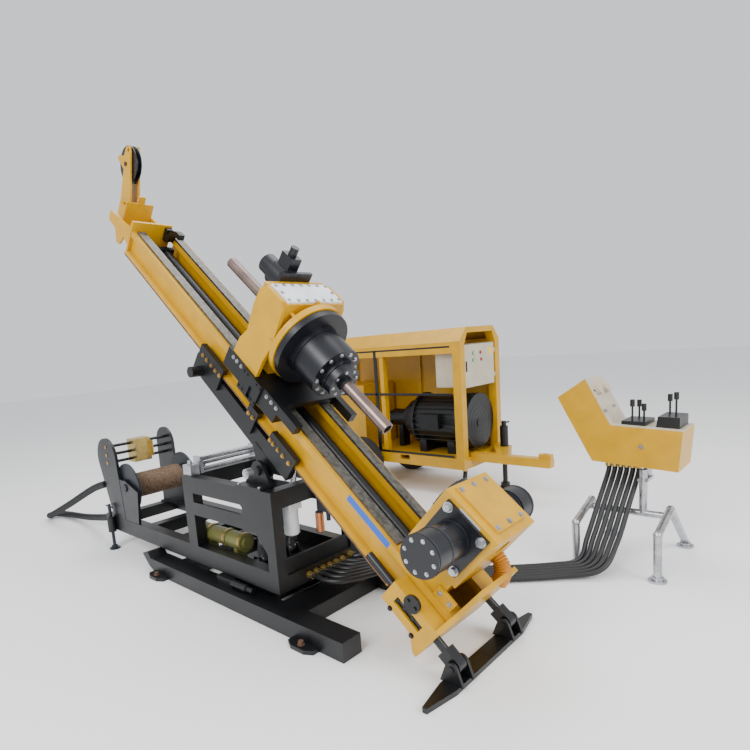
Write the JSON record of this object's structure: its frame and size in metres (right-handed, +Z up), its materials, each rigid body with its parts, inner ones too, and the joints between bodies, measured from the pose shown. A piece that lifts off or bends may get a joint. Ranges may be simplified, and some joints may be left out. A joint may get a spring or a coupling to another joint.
{
  "type": "underground core drilling rig",
  "caption": "Skid-mounted underground core drill with a tilting feed mast, drill head, rod clamp, winch and crown sheave, with its caged electric power unit and a tilting control console.",
  "frame": {"origin": "on the floor under the middle of the skid base, at the middle cross beam's underside", "axes": "+X towards the mast's foot and the drilled hole, +Y from the operator's side towards the power unit, +Z up"},
  "size_m": [5.4415, 3.832, 3.2586],
  "materials": {
    "yellow_paint": "semi-gloss yellow paint",
    "black_paint": "satin black paint",
    "beige_paint": "satin beige paint",
    "white_paint": "satin off-white paint",
    "olive_tube": "olive paint on a cooler tube",
    "bare_steel": "machined steel",
    "dark_steel": "oiled dark steel",
    "chrome_rod": "hard chrome",
    "zinc_brass": "yellow passivated steel",
    "tyre_rubber": "rubber tyre on a steel rim",
    "hose_rubber": "hydraulic hose"
  },
  "bodies": {
    "base": {"skid_base": "black_paint", "slew_ring": "dark_steel", "slew_drive": "bare_steel", "main_frame": "black_paint", "pivot_stand": "black_paint", "cross_pipes": "bare_steel", "oil_cooler": "olive_tube", "oil_filter": "white_paint", "valve_block": "dark_steel", "winch_frame": "dark_steel", "winch_motor": "black_paint", "rear_jacks": "dark_steel", "power_frame": "yellow_paint", "power_roof": "yellow_paint", "power_mesh": "yellow_paint", "power_motor": "black_paint", "power_pump": "dark_steel", "power_tank": "yellow_paint", "lamp_cabinet": "beige_paint", "tow_bar": "yellow_paint", "tow_jack": "black_paint", "axle": "black_paint", "console_stand": "bare_steel", "power_hoses": "hose_rubber", "console_hoses": "hose_rubber", "rear_hose": "hose_rubber"},
    "winch_drum": {"winch_drum": "dark_steel"},
    "rope_guide": {"rope_guide": "zinc_brass"},
    "lift_barrels": {"lift_barrels": "bare_steel"},
    "lift_rods": {"lift_rods": "chrome_rod"},
    "cradle": {"cradle": "black_paint", "slide_barrel": "dark_steel"},
    "mast": {"slide_rod": "chrome_rod", "mast_beam": "yellow_paint", "mast_rails": "bare_steel", "feed_cylinder": "black_paint", "top_bracket": "yellow_paint", "crown_arm": "yellow_paint", "hose_guide": "black_paint", "foot_housing": "yellow_paint", "clamp_box": "yellow_paint", "clamp_cylinders": "black_paint"},
    "crown_sheave": {"crown_sheave": "black_paint"},
    "foot_jacks": {"foot_jacks": "dark_steel"},
    "foot_blade": {"foot_blade": "black_paint"},
    "carriage": {"carriage": "black_paint", "head_housing": "yellow_paint", "head_cover": "white_paint", "head_motor": "black_paint"},
    "spindle": {"chuck": "black_paint", "drill_rod": "bare_steel"},
    "cabinet_door": {"cabinet_door": "beige_paint"},
    "wheel_near": {"wheel_near": "tyre_rubber"},
    "wheel_far": {"wheel_far": "tyre_rubber"},
    "console": {"console_case": "yellow_paint", "console_panel": "beige_paint", "console_levers": "black_paint"}
  },
  "joints": [
    {"name": "mast_tilt", "type": "hinge", "parent": "base", "child": "cradle", "pos_m": [0.18, 0, 0.885], "axis": [0, 1, 0], "range_deg": [-41, 11]},
    {"name": "lift_swing", "type": "hinge", "parent": "base", "child": "lift_barrels", "pos_m": [-0.06, 0, 0.216], "axis": [0, 1, 0], "range_deg": [-2, 2]},
    {"name": "lift_extend", "type": "slide", "parent": "lift_barrels", "child": "lift_rods", "axis": [0.1944, 0, 0.9809], "range_m": [-0.08, 0.024]},
    {"name": "mast_slide", "type": "slide", "parent": "cradle", "child": "mast", "axis": [-0.7547, 0, 0.6561], "range_m": [0, 0.4]},
    {"name": "crown_turn", "type": "hinge", "parent": "mast", "child": "crown_sheave", "pos_m": [-1.40909, 0, 3.12366], "axis": [0, 1, 0], "continuous": true},
    {"name": "foot_jack_slide", "type": "slide", "parent": "mast", "child": "foot_jacks", "axis": [-0.7547, 0, 0.6561], "range_m": [-0.2, 0.054]},
    {"name": "foot_blade_swing", "type": "hinge", "parent": "foot_jacks", "child": "foot_blade", "pos_m": [1.50034, 0, 0.095], "axis": [0, 1, 0], "range_deg": [-25, 25]},
    {"name": "head_feed", "type": "slide", "parent": "mast", "child": "carriage", "axis": [-0.7547, 0, 0.6561], "range_m": [-0.75, 1.05]},
    {"name": "spindle_turn", "type": "hinge", "parent": "carriage", "child": "spindle", "pos_m": [0.64908, 0, 1.42462], "axis": [-0.7547, 0, 0.6561], "continuous": true},
    {"name": "drum_turn", "type": "hinge", "parent": "base", "child": "winch_drum", "pos_m": [-1.53, 0, 0.575], "axis": [0, 1, 0], "continuous": true},
    {"name": "rope_guide_slide", "type": "slide", "parent": "base", "child": "rope_guide", "axis": [0, 1, 0], "range_m": [-0.185, 0.17]},
    {"name": "wheel_near_turn", "type": "hinge", "parent": "base", "child": "wheel_near", "pos_m": [-1.22, 2.233, 0.28], "axis": [0, 1, 0], "continuous": true},
    {"name": "wheel_far_turn", "type": "hinge", "parent": "base", "child": "wheel_far", "pos_m": [-1.22, 3.217, 0.28], "axis": [0, 1, 0], "continuous": true},
    {"name": "cabinet_door_swing", "type": "hinge", "parent": "base", "child": "cabinet_door", "pos_m": [0.022, 3.013, 1.3], "axis": [0, 0, 1], "range_deg": [0, 90]},
    {"name": "console_tilt", "type": "hinge", "parent": "base", "child": "console", "pos_m": [1.77, 1.727, 0.8], "axis": [0, 1, 0], "range_deg": [-10, 10]}
  ],
  "couplings": [
    {"joint": "lift_swing", "follows": "mast_tilt", "ratio": 0.012},
    {"joint": "lift_extend", "follows": "mast_tilt", "m_per_rad": 0.1096}
  ]
}
